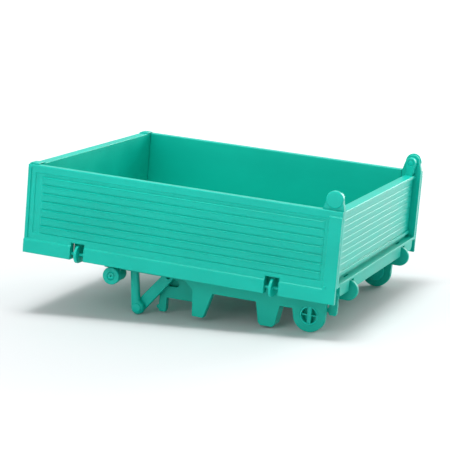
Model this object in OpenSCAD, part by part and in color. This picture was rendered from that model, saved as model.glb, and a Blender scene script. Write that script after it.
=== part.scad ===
// Dropside tipping body of a toy farm trailer.
// Fixed bed with two bottom-hinged side flaps, a top-hung tailgate, two folding
// two-link stays and two guide rollers under the floor.
// Working frame: x from the front face, y inwards from the outer face of one side,
// z from the lower edge of the side flaps. place() moves it into the part's frame:
// front towards -X, left side towards -Y, origin under the middle at the stay's foot.

/* [Body] */
// Length of the body, front face to rear face
body_l = 160; // [140:1:240]
// Width of the body over both side flaps
body_w = 144; // [110:1:200]
// Height of the side flaps
wall_h = 43.6; // [34:0.2:70]
// Thickness of the side flaps
flap_t = 4.6; // [4:0.1:6]
// Thickness of the front wall
front_t = 4.8; // [3:0.1:7]
// Thickness of the floor
floor_t = 2.2; // [1.6:0.1:3]
// Underside of the floor above the lower edge of the flaps
floor_z = 9.8; // [9.4:0.1:13]

/* [Side flaps] */
// Height of the bottom flange
flange_h = 6.4; // [5:0.1:8]
// How far the flange and the rear border stand proud of the panel
flange_proud = 0.7; // [0.3:0.1:1]
// Length of the raised border at the rear end
border_l = 6.2; // [4:0.1:9]
// Depth of the ribbed field below the frame
field_depth = 0.5; // [0.2:0.1:0.8]
// Distance from the front end to the ribbed field
field_x = 4.4; // [3:0.1:8]
// Lower edge of the ribbed field
field_z = 10.4; // [9:0.1:13]
// Distance from the top edge to the ribbed field
field_top = 3.6; // [2:0.1:6]
// Plain margin around the ribs inside the field
rib_margin = 3.6; // [2:0.1:6]
// Number of ribs on a side flap
rib_n = 7; // [3:1:12]
// How far a rib bulges out of the field
rib_bulge = 0.6; // [0.3:0.05:0.9]
// Groove between two ribs
rib_gap = 0.5; // [0.2:0.1:1.2]
// Position of the end groove from the front end
groove_x = 1.8; // [1.2:0.1:2.4]
// Width of the end groove
groove_w = 0.6; // [0.3:0.1:1]

/* [Flap hinges] */
// Front hinge from the front end
hinge_front = 29; // [20:0.5:40]
// Rear hinge from the rear end
hinge_rear = 31; // [24:0.5:44]
// Radius of the hinge pins
hinge_pin_r = 0.8; // [0.6:0.05:1.2]
// Height of the hinge axis
hinge_z = 3; // [2.6:0.1:3.4]
// Radius of the round hinge ears
ear_r = 4.4; // [3.8:0.1:4.6]
// Thickness of a hinge ear
ear_t = 1.3; // [1:0.1:2]
// Width of the notch that an ear passes through
notch_w = 7; // [5:0.1:9]
// Length of pin held in the flap on each side of the notch
pin_hold = 2; // [1.5:0.1:3]
// Room between a flap and the root block of its ear
root_room = 1.6; // [1.6:0.1:2.4]
// How far a root block reaches past its notch on each side
root_over = 1; // [0.5:0.1:1.5]
// Lower edge of the root blocks and of the front wall
root_low = 0.7; // [0.4:0.1:1.5]

/* [Front posts] */
// Length of a front corner post along the body
front_post_l = 4.8; // [4:0.1:8]
// Length of a front corner post across the body
front_post_w = 7.4; // [6.4:0.1:12]
// How far the post stands above the flaps
front_post_rise = 0.4; // [0:0.1:1.5]

/* [Rear posts] */
// Length of a rear post along the body
post_l = 10.4; // [10:0.1:13]
// How far a rear post's plate laps over the edge of the floor
post_lap = 0.2; // [0.1:0.1:0.6]
// Slant of the post's shoulder
post_slant = 2.2; // [1:0.1:3]
// Drop of the post's shoulder below the top of the disc
post_drop = 1.6; // [1:0.1:2.4]
// Skin of the side flap left behind its ribbed field, in front of the posts
skin_t = 0.8; // [0.6:0.1:1]
// Tailgate pivot above the top of the flaps
pivot_rise = 4.9; // [4.9:0.1:8]
// Tailgate pivot from the rear end
pivot_inset = 5; // [4.6:0.1:5.2]
// Radius of the raised disc on the post
disc_r = 4.2; // [4:0.1:4.7]
// How far the raised disc stands out of the post
disc_proud = 0.7; // [0.4:0.1:1]
// Radius of the tailgate pins
gate_pin_r = 1.5; // [1.2:0.1:2]

/* [Tailgate] */
// Thickness of the tailgate
gate_t = 4; // [3:0.1:5]
// Recess of the tailgate behind the rear ends of the posts
gate_recess = 3.7; // [3:0.1:4]
// How far the tailgate stays below the top of the flaps
gate_drop = 1.9; // [1:0.1:4]
// Thickness of a tailgate ear across the body
gate_ear_t = 4.2; // [3:0.1:6]
// Radius of a tailgate ear
gate_ear_r = 2.9; // [2.6:0.1:3.8]
// Number of ribs on the tailgate
gate_rib_n = 9; // [4:1:14]
// Height of the tailgate's bottom strip
gate_strip = 2; // [1.4:0.1:3]
// How far the bottom strip stands out of the tailgate
strip_proud = 0.8; // [0.4:0.1:1.2]
// Height of the tailgate's top lip
gate_lip = 1.5; // [1:0.1:2]
// How far the top lip stands out of the tailgate
lip_proud = 1.2; // [0.4:0.1:1.4]

/* [Rear sill] */
// Thickness of the sill's rear plate
sill_t = 2.8; // [2:0.1:3]
// Upper edge of the sill
sill_top = 8.7; // [8:0.1:9.2]
// Lower edge of the sill
sill_low = 2.4; // [0:0.1:3]
// Distance of the sill's ends from the outer faces
sill_inset = 8; // [8:0.1:12]
// Height of the sill's inner step
step_h = 3.6; // [2:0.1:4]
// Bevel of the sill's lower corners
sill_bevel = 1.6; // [1:0.1:2.4]

/* [Beams] */
// Outer face of a beam from the outer face of its flap
beam_y = 14; // [13:0.1:20]
// Thickness of a beam
beam_t = 2.8; // [2:0.1:4]
// Depth of the front half below the flaps
beam_front_d = 4; // [3:0.1:4.2]
// Depth of the rear half below the flaps
beam_rear_d = 8.2; // [6:0.1:10]
// Start of a beam from the front end
beam_x = 38; // [36:0.5:39]
// Start of the deep rear half, past the middle of the body
beam_step = 4; // [2:0.5:8]
// Thickness of the front lug across the body
lug1_t = 4; // [3:0.1:4]
// Thickness of the middle lug across the body
lug2_t = 8; // [4:0.1:9]
// Width of the front lug at its root
lug1_w = 11; // [9:0.1:13]
// Width of the front lug at its foot
lug1_foot = 6; // [4:0.1:8]
// Width of the middle lug at its root
lug2_w = 13.2; // [11:0.1:15]
// Width of the middle lug at its foot
lug2_foot = 5.8; // [4:0.1:8]
// Foot of the front lug below the flaps
lug1_d = 20.8; // [16:0.1:21.5]
// Foot of the middle lug below the flaps
lug2_d = 19.2; // [15:0.1:19.6]
// Bevel of the middle lug's foot
foot_bevel = 1.3; // [0.6:0.1:1.6]
// Draft of the lugs' roots
draft = 0.6; // [0.2:0.1:1]
// Front edge of the middle lug from the rear end
lug2_x = 43; // [40:0.5:46]
// Radius of the round rear lug
lug3_r = 8; // [7:0.1:9]
// Pivot of the round rear lug from the rear end
lug3_x = 15.6; // [14:0.1:18]
// Pivot of the round rear lug below the flaps
lug3_d = 10.4; // [9:0.1:11]
// Outer radius of the pivot bush
bush_r = 4.6; // [4:0.1:5.4]
// Wall of the pivot bush
bush_wall = 0.8; // [0.6:0.1:1.2]
// How far the pivot bush stands out of the lug on the inside
bush_free = 1.5; // [0.3:0.1:3]
// Thickness of the closed inner end of the bush
bush_end = 0.6; // [0.4:0.1:1]
// Width of the bush's cross web
web_w = 2; // [1.2:0.1:2.4]

/* [Inner rails and cross members] */
// Outer face of an inner rail from the outer face of its flap
rail_y = 25.5; // [25.4:0.1:30]
// Thickness of an inner rail
rail_t = 2; // [1.4:0.1:3]
// Lower edge of an inner rail below the flaps
rail_d = 3; // [2:0.1:4]
// Radius of an inner rail's round rear nose
nose_r = 5; // [4:0.1:5.4]
// How far the nose stands behind the sill
nose_out = 3.7; // [2:0.1:4.6]
// Gap on each side of the nose in the sill
nose_gap = 2.5; // [0.6:0.1:3]
// Thickness of a cross member
cross_t = 3; // [2:0.1:4]
// Depth of the front and middle cross members below the flaps
cross_d = 3.6; // [2:0.1:5]
// Depth of the rear cross member below the flaps
cross_rear_d = 9; // [6:0.1:10]
// Rear cross member from the rear end
cross_rear_x = 29; // [28:0.5:30]

/* [Hooks] */
// Front edge of the hook bracket from the front end
bracket_x = 63.5; // [62:0.5:66]
// Length of the hook bracket
bracket_l = 26; // [20:0.5:30]
// Thickness of the hook bracket
bracket_t = 3.2; // [2.4:0.1:4]
// Skin left behind the oval pocket of the hook bracket
pocket_skin = 0.8; // [0.6:0.1:1.2]
// Depth of the hook bracket below the flaps
bracket_d = 17; // [14:0.1:18]
// Middle of the front round end of the pocket from the front edge of the bracket
pocket_x = 4.6; // [4:0.1:8]
// Length of the pocket
pocket_l = 7; // [5:0.1:10]
// Half the height of the pocket
pocket_r = 1.6; // [1:0.1:2]
// Middle of the pocket below the flaps
pocket_d = 9.4; // [7:0.1:12]
// Width of a hook post
hook_w = 4; // [3:0.1:5]
// Thickness of a hook post
hook_t = 2.4; // [2:0.1:4]
// Foot of the front hooks below the flaps
hook_front_d = 24.4; // [20:0.1:24.8]
// Foot of the rear hook below the flaps
hook_rear_d = 9.6; // [8:0.1:12]
// Rear hook from the rear end
hook_rear_x = 3.4; // [3.2:0.1:5]
// How far a barb stands out
barb = 1.2; // [0.6:0.1:1.6]

/* [Folding stays] */
// Upper pivot of a stay from the front end
stay_x = 51.4; // [50:0.1:54]
// Upper pivot of a stay below the flaps
stay_d = 1.5; // [1:0.1:2]
// Outer face of a stay's upper link from the outer face of its flap
stay_y = 18.3; // [18.2:0.1:19]
// Height from the upper pivot to the knee
stay_drop = 21.4; // [17:0.1:24]
// How far the knee lies behind the upper pivot
stay_rake = 3.5; // [0:0.1:5]
// Width of the upper link
link1_w = 4.1; // [3:0.1:5]
// Width of the lower link
link2_w = 5.2; // [4:0.1:6]
// Thickness of both links
link_t = 2.9; // [2:0.1:3]
// Radius of the knee
knee_r = 3.4; // [3:0.1:4]
// Length of the lower link between its holes
link2_l = 22.4; // [18:0.1:24]
// Angle of the folded lower link above the horizontal
link2_a = 51; // [40:1:56]
// Thickness of a pin's head
pin_head = 0.6; // [0.4:0.1:0.8]
// How far a pin's head stands out all round
head_rim = 0.6; // [0.4:0.1:1]
// Radius of the stay's pins
stay_pin_r = 1.2; // [0.8:0.05:1.4]

/* [Guide rollers] */
// Radius of a guide roller
roller_r = 4.35; // [3:0.05:5]
// Width of a guide roller
roller_w = 3.6; // [2:0.1:4]
// Guide roller's axle from the front end
roller_x = 43.4; // [42.4:0.1:43.6]
// Guide roller's axle below the flaps
roller_d = 7.1; // [6:0.1:8]
// Radius of the boss behind the roller
boss_r = 3.8; // [3:0.1:4]
// Length of the boss
boss_l = 7; // [3:0.1:7.4]
// Radius of the roller's axle
axle_r = 1; // [0.8:0.05:1.3]
// How far the sunk head of the axle stands out all round
axle_rim = 0.8; // [0.5:0.1:1]
// Thickness of the axle's head, and the bevel of the roller's rims
axle_head = 0.5; // [0.3:0.1:0.7]

/* [Clearances] */
// Gap between parts that move past each other
gap = 0.3; // [0.2:0.05:0.5]
// Radial running clearance of every pin in its bore
run_gap = 0.05; // [0.02:0.01:0.1]
// Room above the corner of a side flap for its swing
swing_gap = 1.9; // [1.6:0.1:2.4]

/* [Hidden] */
$fn = 64;
plastic = [0.08, 0.72, 0.64];
deep_plastic = [0.05, 0.62, 0.55];
pin_plastic = [0.2, 0.8, 0.72];

// Fine shape of the flaps: bevelled top edge, ends of the border, groove and ribs, round nub
top_bevel = 0.5;
border_drop = 2.6;
groove_drop = 1.2;
rib_drop = 1.4;
nub = [5, 1.2];
nub_r = 0.8;
nub_proud = 0.3;
// Room above the tailgate's strip, its ribs' distance from the ears, and the sill's ledge
strip_room = 0.4;
rib_side = 1.2;
ledge_rise = 0.1;
// Step between the raised disc and the eye of a rear post
eye_step = 0.4;
// Slanted step in a beam's lower edge, and the start of the lug behind it
step_run = 4;
lug1_lead = 1;
// Places of the rails, cross members and rear hook behind their neighbours
rail_room = 4;
cross_front_room = 5;
cross_mid_room = 14;
hook_room = 1.2;
// Height of the front cross member's lower edge below the floor
cross_front_h = 4;
// Barbed foot of a hook: bevels, and the heights of the barb's corners above the foot
foot_cut = 0.6;
foot_rise = 1;
barb_low = 2;
barb_high = 2.8;
barb_top = 3.6;
// Rims of the links round their holes, and the sunk middle of an axle's head
link1_rim = 0.5;
link2_rim = 0.3;
axle_sink = 0.4;

// Knee of a folded stay, and the lowest point of the whole body
knee = [stay_x + stay_rake, -stay_d - stay_drop];
stand_h = -knee.y + knee_r;
floor_top = floor_z + floor_t;
// Flap hinge axis lies in the middle of the flap's thickness
hinge_y = flap_t / 2;
hinge_xs = [hinge_front, body_l - hinge_rear];
// Tailgate pivot
pivot = [body_l - pivot_inset, wall_h + pivot_rise];
notch_h = hinge_z + ear_r + 3 * gap;
// Root block of an ear, under the floor behind the notch
root_y = flap_t + gap + root_room;
root_half = notch_w / 2 + root_over;
// Posts stand behind the thin ends of the flaps, clear of the swing of the flanges
field_y = flange_proud + field_depth;
end_t = field_y + skin_t;
post_y = end_t + gap;
post_z = hinge_z + hinge_y + swing_gap;
floor_y = flap_t + gap;
post_in = floor_y + post_lap;
post_t = post_in - post_y;
shoulder_z = pivot.y + disc_r - post_drop;
gate_out = body_l - gate_recess;
gate_in = gate_out - gate_t;
gate_y = post_in + gap;
gate_top = wall_h - gate_drop;
gate_low = floor_z + ledge_rise + gap;
floor_end = gate_in - gap;
lug3 = [body_l - lug3_x, -lug3_d];
lug1_x = body_l / 2 + beam_step + lug1_lead;
lug2_end = (lug2_w + lug2_foot) / 2;
roller_p = [roller_x, -roller_d];
roller_y = beam_y - gap - roller_w;
link2_y = stay_y + link_t + gap;
stay_end = knee + link2_l * [cos(link2_a), sin(link2_a)];
rail_x = bracket_x + bracket_l + rail_room;
bracket_y = link2_y + link_t + gap + pin_head + gap;
cross_front_x = stay_x + cross_front_room;
cross_mid_x = lug1_x + cross_mid_room;
hook_y = beam_y + beam_t + hook_room;

// ---- placing ----

module place() translate([-(body_l + nose_out) / 2, -body_w / 2, stand_h]) children();

// Builds the left side as drawn and the right side as its mirror image
module on_side(side) {
    if (side == "right")
        mirror([0, 1, 0]) place() children();
    else
        place() children();
}

// Flat plate of thickness t, drawn in x and z, with its outer face at y
module upright(y, t) translate([0, y + t, 0]) rotate([90, 0, 0]) linear_extrude(t) children();

// Round bar or hole across the body, from y to y + l, through the point p in x and z
module across(p, r, y, l) translate([p.x, y, p.y]) rotate([-90, 0, 0]) cylinder(r = r, h = l);

// Straight bar of width w from point a to point b
module bar_2d(a, b, w)
    translate(a) rotate(atan2(b.y - a.y, b.x - a.x)) translate([0, -w / 2]) square([norm(b - a), w]);

module box(a, b) translate(a) cube(b - a);

// ---- fixed bed ----

module floor_plate() color(deep_plastic) place()
    box([front_t, floor_y, floor_z], [floor_end, body_w - floor_y, floor_top]);

module front_wall() color(plastic) place()
    box([0, post_y + front_post_w, root_low], [front_t, body_w - post_y - front_post_w, wall_h]);

module front_post(side) color(plastic) on_side(side) difference() {
    box([0, post_y, post_z],
        [front_post_l, post_y + front_post_w, wall_h + front_post_rise]);
    // seat for the corner of the floor
    box([front_t, floor_y, floor_z], [front_post_l + 1, body_w / 2, floor_top]);
}

// Post plate with its slanted shoulder and the round eye of the tailgate pivot
module rear_post(side) color(plastic) on_side(side) {
    difference() {
        union() {
            upright(post_y, post_t) {
                polygon([
                    [body_l - post_l, post_z], [body_l, post_z], [body_l, wall_h],
                    [pivot.x + disc_r, pivot.y], [pivot.x, shoulder_z],
                    [body_l - post_l + post_slant, shoulder_z],
                    [body_l - post_l, wall_h]]);
                translate(pivot) circle(disc_r - eye_step);
            }
            // raised disc on the outer face
            across(pivot, disc_r, post_y - disc_proud, disc_proud + post_t / 2);
            // foot between the post plate and the sill
            box([floor_end, post_in, post_z], [body_l, sill_inset, sill_top]);
        }
        across(pivot, gate_pin_r, post_y - 0.1, post_t + 1);
        box([0, floor_y, floor_z], [floor_end, body_w / 2, floor_top]);
    }
}

// Rear sill: face plate, step that carries the end of the floor, and slots for the rail noses
module rear_sill() color(plastic) place() difference() {
    union() {
        box([body_l - sill_t, sill_inset, sill_low], [body_l, body_w - sill_inset, sill_top]);
        box([floor_end, sill_inset, sill_top - step_h],
            [body_l - sill_t, body_w - sill_inset, sill_top]);
        box([floor_end, sill_inset + gap, sill_top],
            [gate_out - gap, body_w - sill_inset - gap, floor_z + ledge_rise]);
    }
    for (y = [rail_y, body_w - rail_y - rail_t])
        box([0, y - nose_gap, sill_low - 1],
            [body_l + 1, y + rail_t + nose_gap, 2 * nose_r - rail_d + gap]);
    // bevelled lower corners
    for (y = [sill_inset, body_w - sill_inset])
        translate([body_l - sill_t - 1, y, sill_low]) rotate([0, 90, 0])
            cylinder(r = sill_bevel, h = sill_t + 2, $fn = 4);
}

// Round-ended plates that reach through the notches of a side flap
module hinge_ears(side) color(plastic) on_side(side)
    for (x = hinge_xs) translate([x - ear_t / 2, 0, 0]) difference() {
        union() {
            translate([0, hinge_y, hinge_z]) rotate([0, 90, 0]) cylinder(r = ear_r, h = ear_t);
            box([0, hinge_y, hinge_z - ear_r], [ear_t, root_y + 1, hinge_z + ear_r - root_room]);
            box([ear_t / 2 - root_half, root_y, root_low], [ear_t / 2 + root_half, beam_y, floor_z]);
        }
        translate([-1, hinge_y, hinge_z]) rotate([0, 90, 0])
            cylinder(r = hinge_pin_r + run_gap, h = ear_t + 2);
    }

// Longitudinal beam with its trapezoid lugs, its round rear lug and the roller boss
module beam(side) color(plastic) on_side(side) difference() {
    union() {
        upright(beam_y, beam_t) {
            polygon([
                [beam_x, floor_z], [floor_end, floor_z], [floor_end, -beam_rear_d],
                [lug1_x, -beam_rear_d], [lug1_x - step_run, -beam_front_d], [beam_x, -beam_front_d]]);
            translate(lug3) circle(lug3_r);
            translate([lug3.x - lug3_r, lug3.y]) square([2 * lug3_r, lug3_d]);
        }
        upright(beam_y, lug1_t)
            polygon([
                [lug1_x, floor_z], [lug1_x + lug1_w, floor_z], [lug1_x + lug1_w - draft, -beam_rear_d],
                [lug1_x + draft + lug1_foot, -lug1_d], [lug1_x + draft, -lug1_d]]);
        upright(beam_y, lug2_t)
            translate([body_l - lug2_x, 0])
                polygon([
                    [0, floor_z], [lug2_w, floor_z], [lug2_w - draft, -beam_rear_d],
                    [lug2_end + foot_bevel, -lug2_d + foot_bevel], [lug2_end, -lug2_d],
                    [lug2_end - lug2_foot, -lug2_d],
                    [lug2_end - lug2_foot - foot_bevel, -lug2_d + foot_bevel],
                    [draft, -beam_rear_d]]);
        // boss and web of the guide roller
        across(roller_p, boss_r, beam_y, boss_l);
        upright(beam_y, boss_l)
            translate([roller_p.x - boss_r * 0.8, roller_p.y]) square([boss_r * 1.6, roller_d + floor_z]);
    }
    across(lug3, bush_r, beam_y - 1, beam_t + 2);
    across(roller_p, axle_r, beam_y - 1, boss_l + 2);
    across([stay_x, -stay_d], stay_pin_r, beam_y - 1, beam_t + 2);
}

// Plate along the body whose round rear nose passes through the sill
module inner_rail(side) color(deep_plastic) on_side(side) upright(rail_y, rail_t) {
    translate([body_l + nose_out - nose_r, nose_r - rail_d]) circle(nose_r);
    translate([rail_x, -rail_d]) square([body_l + nose_out - nose_r - rail_x, 2 * nose_r]);
    translate([rail_x, 0]) square([floor_end - rail_x, floor_z]);
}

// Bar across the bed between the two beams, cut out for the inner rails
module cross_member(x, depth, y0) color(deep_plastic) place() difference() {
    box([x, y0, -depth], [x + cross_t, body_w - y0, floor_z]);
    for (y = [rail_y, body_w - rail_y - rail_t])
        if (x > bracket_x + bracket_l)
            box([x - 1, y, -rail_d], [x + cross_t + 1, y + rail_t, floor_z + 1]);
}

module front_cross_member() cross_member(cross_front_x, cross_front_h - floor_z, beam_y + beam_t);
module middle_cross_member() cross_member(cross_mid_x, cross_d, beam_y + beam_t);
module rear_cross_member()
    cross_member(body_l - cross_rear_x, cross_rear_d, beam_y + beam_t);

// Barbed snap hook in x and z, hanging from z = top to its foot at -depth
module hook_2d(x, top, depth) {
    translate([x, foot_rise - depth]) square([hook_w, top + depth - foot_rise]);
    polygon([
        [x + foot_cut, -depth], [x + hook_w - foot_cut, -depth],
        [x + hook_w, foot_rise - depth], [x + hook_w, barb_top - depth],
        [x, barb_top - depth], [x - barb, barb_high - depth],
        [x - barb, barb_low - depth], [x, foot_rise - depth]]);
}

// Plate with an oval pocket in its outer face and a snap hook at its front end
module hook_bracket(side) color(deep_plastic) on_side(side) difference() {
    upright(bracket_y, bracket_t) {
        translate([bracket_x, -bracket_d]) square([bracket_l, bracket_d + floor_z]);
        hook_2d(bracket_x, -bracket_d, hook_front_d);
    }
    upright(bracket_y - 1, bracket_t + 1 - pocket_skin) hull()
        for (dx = [0, pocket_l - 2 * pocket_r])
            translate([bracket_x + pocket_x + dx, -pocket_d]) circle(pocket_r);
}

// Hook under the left end of the sill
module rear_hook() color(plastic) on_side("left") upright(hook_y, hook_t)
    hook_2d(body_l - hook_rear_x - hook_w, sill_top - step_h, hook_rear_d);

// Blind bush with a cross web in its mouth, pressed into the round lug
module pivot_bush(side) color(pin_plastic) on_side(side) {
    bush_l = beam_t + bush_free;
    difference() {
        across(lug3, bush_r, beam_y, bush_l);
        across(lug3, bush_r - bush_wall, beam_y - 1, bush_l + 1 - bush_end);
    }
    intersection() {
        across(lug3, bush_r - bush_wall / 2, beam_y + 0.6, bush_l - 0.6);
        union() {
            translate([lug3.x - web_w / 2, beam_y, lug3.y - bush_r])
                cube([web_w, bush_l, 2 * bush_r]);
            translate([lug3.x - bush_r, beam_y, lug3.y - web_w / 2])
                cube([2 * bush_r, bush_l, web_w]);
        }
    }
}

// ---- guide rollers ----

module roller_axle(side) color(pin_plastic) on_side(side) difference() {
    union() {
        across(roller_p, axle_r, roller_y, roller_w + gap + boss_l);
        across(roller_p, axle_r + axle_rim, roller_y, axle_head);
    }
    across(roller_p, axle_r / 2, roller_y - 1, 1 + axle_sink);
}

module guide_roller(side) color(plastic) on_side(side)
    translate([roller_p.x, roller_y, roller_p.y]) rotate([-90, 0, 0]) rotate_extrude()
        polygon([
            [axle_r + run_gap, axle_head + run_gap],
            [axle_r + axle_rim + 2 * run_gap, axle_head + run_gap],
            [axle_r + axle_rim + 2 * run_gap, 0], [roller_r - axle_head, 0],
            [roller_r, axle_head], [roller_r, roller_w - axle_head],
            [roller_r - axle_head, roller_w], [axle_r + run_gap, roller_w]]);

// ---- folding stays ----

module stay_pin(side) color(pin_plastic) on_side(side) {
    p = [stay_x, -stay_d];
    across(p, stay_pin_r, beam_y, stay_y - beam_y + link_t + run_gap + pin_head);
    across(p, stay_pin_r + head_rim, stay_y + link_t + run_gap, pin_head);
    difference() {
        across(p, stay_pin_r + head_rim, beam_y + beam_t, stay_y - beam_y - beam_t - 2 * run_gap);
        across(p, stay_pin_r, beam_y, stay_y);
    }
}

module stay_upper_link(side) color(plastic) on_side(side) difference() {
    upright(stay_y, link_t) {
        translate([stay_x, -stay_d]) circle(link1_w / 2 + link1_rim);
        bar_2d([stay_x, -stay_d], knee - [knee_r - link1_w / 2, 0], link1_w);
        translate(knee) circle(knee_r);
    }
    across([stay_x, -stay_d], stay_pin_r + run_gap, stay_y - 1, link_t + 2);
    across(knee, stay_pin_r, stay_y - 1, link_t + 2);
}

// Headed pin, held in the upper link and free in the lower one
module knee_pin(side) color(pin_plastic) on_side(side) {
    across(knee, stay_pin_r, stay_y, 2 * link_t + gap + run_gap + pin_head);
    across(knee, stay_pin_r + 2 * head_rim, stay_y - pin_head, pin_head);
    across(knee, stay_pin_r + head_rim, link2_y + link_t + run_gap, pin_head);
}

module stay_lower_link(side) color(plastic) on_side(side) difference() {
    upright(link2_y, link_t) {
        translate(knee) circle(link2_w / 2 + link2_rim);
        bar_2d(knee, stay_end, link2_w);
        translate(stay_end) circle(link2_w / 2);
    }
    across(knee, stay_pin_r + run_gap, link2_y - 1, link_t + 2);
    across(stay_end, stay_pin_r, link2_y - 1, link_t + 2);
}

// ---- side flaps ----

// Row of n bulging ribs in y and z between z0 and z1, standing out of the face at y
module ribs_2d(n, z0, z1, y, bulge, space) {
    pitch = (z1 - z0) / n;
    chord = pitch - space;
    r = (chord * chord / 4 + bulge * bulge) / (2 * bulge);
    for (i = [0 : n - 1])
        intersection() {
            translate([y + r - bulge, z0 + (i + 0.5) * pitch]) circle(r, $fn = 128);
            translate([y - bulge, z0 + i * pitch + space / 2]) square([bulge + 0.2, chord]);
        }
}

// Extrudes a profile drawn in y and z along x, from x0 to x1
module along(x0, x1) translate([x0, 0, 0]) rotate([90, 0, 90]) linear_extrude(x1 - x0) children();

module side_flap(side) color(plastic) on_side(side) {
    panel_y = flange_proud;
    field_end = body_l - border_l;
    field_up = wall_h - field_top;
    difference() {
        union() {
            along(0, body_l) polygon([
                [0, 0], [flap_t, 0], [flap_t, wall_h], [panel_y + top_bevel, wall_h],
                [panel_y, wall_h - top_bevel], [panel_y, flange_h + flange_proud], [0, flange_h]]);
            box([field_end, 0, flange_h - 1], [body_l, panel_y + 1, wall_h - border_drop]);
        }
        // ribbed field, end groove, hinge notches and pin holes
        box([field_x, panel_y - 1, field_z], [field_end, field_y, field_up]);
        box([groove_x, panel_y - 1, flange_h + flange_proud],
            [groove_x + groove_w, field_y, wall_h - groove_drop]);
        for (x = hinge_xs) {
            box([x - notch_w / 2, -1, -1], [x + notch_w / 2, flap_t + 1, notch_h]);
            translate([x - notch_w / 2 - pin_hold, hinge_y, hinge_z]) rotate([0, 90, 0])
                cylinder(r = hinge_pin_r, h = notch_w + 2 * pin_hold);
        }
        // room for the front and rear posts behind the thin ends
        box([-1, end_t, -1], [front_post_l + gap, flap_t + 1, wall_h + 1]);
        box([body_l - post_l - gap, end_t, -1], [body_l + 1, flap_t + 1, wall_h + 1]);
    }
    along(field_x + rib_margin, field_end - rib_margin / 2)
        ribs_2d(rib_n, field_z, field_up - rib_drop, field_y, rib_bulge, rib_gap);
    // small round nub near the rear end
    translate([body_l - nub.x, -nub_proud, flange_h + nub.y]) rotate([-90, 0, 0])
        cylinder(r = nub_r, h = nub_proud + flange_proud / 2);
}

module flap_pins(side) color(pin_plastic) on_side(side)
    for (x = hinge_xs)
        translate([x - notch_w / 2 - pin_hold, hinge_y, hinge_z]) rotate([0, 90, 0])
            cylinder(r = hinge_pin_r, h = notch_w + 2 * pin_hold);

// ---- tailgate ----

module tailgate_pin(side) color(pin_plastic) on_side(side)
    across(pivot, gate_pin_r, post_y, post_t + gap + gate_ear_t);

module tailgate() color(plastic) place() {
    rib_y0 = gate_y + rib_side;
    difference() {
        union() {
            box([gate_in, gate_y, gate_low], [gate_out, body_w - gate_y, gate_top]);
            // bottom strip and top lip on the outer face
            box([gate_in, gate_y, gate_low],
                [gate_out + strip_proud, body_w - gate_y, gate_low + gate_strip]);
            box([gate_in, gate_y, gate_top - gate_lip],
                [gate_out + lip_proud, body_w - gate_y, gate_top]);
            for (y = [gate_y, body_w - gate_y - gate_ear_t]) upright(y, gate_ear_t) {
                translate(pivot) circle(gate_ear_r);
                polygon([
                    [gate_in, gate_top - 1], [gate_out, gate_top - 1],
                    [pivot.x + gate_ear_r, pivot.y], [pivot.x - gate_ear_r, pivot.y]]);
            }
        }
        for (y = [gate_y, body_w - gate_y - gate_ear_t])
            across(pivot, gate_pin_r + run_gap, y - 1, gate_ear_t + 2);
    }
    translate([gate_out, body_w - rib_y0, 0]) rotate([0, 0, -90]) along(0, body_w - 2 * rib_y0)
        mirror([1, 0, 0]) ribs_2d(
            gate_rib_n, gate_low + gate_strip + strip_room, gate_top - gate_lip, 0, rib_bulge,
            rib_gap);
}

floor_plate();
front_wall();
front_post("left");  // front_post_left
front_post("right");  // front_post_right
rear_post("left");  // rear_post_left
rear_post("right");  // rear_post_right
rear_sill();
hinge_ears("left");  // hinge_ears_left
hinge_ears("right");  // hinge_ears_right
beam("left");  // beam_left
beam("right");  // beam_right
inner_rail("left");  // inner_rail_left
inner_rail("right");  // inner_rail_right
front_cross_member();
middle_cross_member();
rear_cross_member();
hook_bracket("left");  // hook_bracket_left
hook_bracket("right");  // hook_bracket_right
rear_hook();
pivot_bush("left");  // pivot_bush_left
pivot_bush("right");  // pivot_bush_right
roller_axle("left");  // roller_axle_left
roller_axle("right");  // roller_axle_right
guide_roller("left");  // guide_roller_left
guide_roller("right");  // guide_roller_right
stay_pin("left");  // stay_pin_left
stay_pin("right");  // stay_pin_right
stay_upper_link("left");  // stay_upper_link_left
stay_upper_link("right");  // stay_upper_link_right
knee_pin("left");  // knee_pin_left
knee_pin("right");  // knee_pin_right
stay_lower_link("left");  // stay_lower_link_left
stay_lower_link("right");  // stay_lower_link_right
side_flap("left");  // side_flap_left
side_flap("right");  // side_flap_right
flap_pins("left");  // flap_pins_left
flap_pins("right");  // flap_pins_right
tailgate_pin("left");  // tailgate_pin_left
tailgate_pin("right");  // tailgate_pin_right
tailgate();
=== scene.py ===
"""Looks of a toy dropside tipping trailer body, moulded in one turquoise plastic.

Every piece is drawn on the maker's bench: x from the front face, y inwards from the left
side's outer face and z from the lower edge of the side flaps, in millimetres. Bench moves
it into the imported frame. Right-hand pieces are the left-hand ones mirrored across the bed.
"""

import logging
import math
from dataclasses import dataclass, field
from enum import Enum
from typing import Iterable, Sequence

import bmesh
import bpy
import numpy as np
from mathutils import Matrix, Vector
from mathutils.geometry import tessellate_polygon


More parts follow.
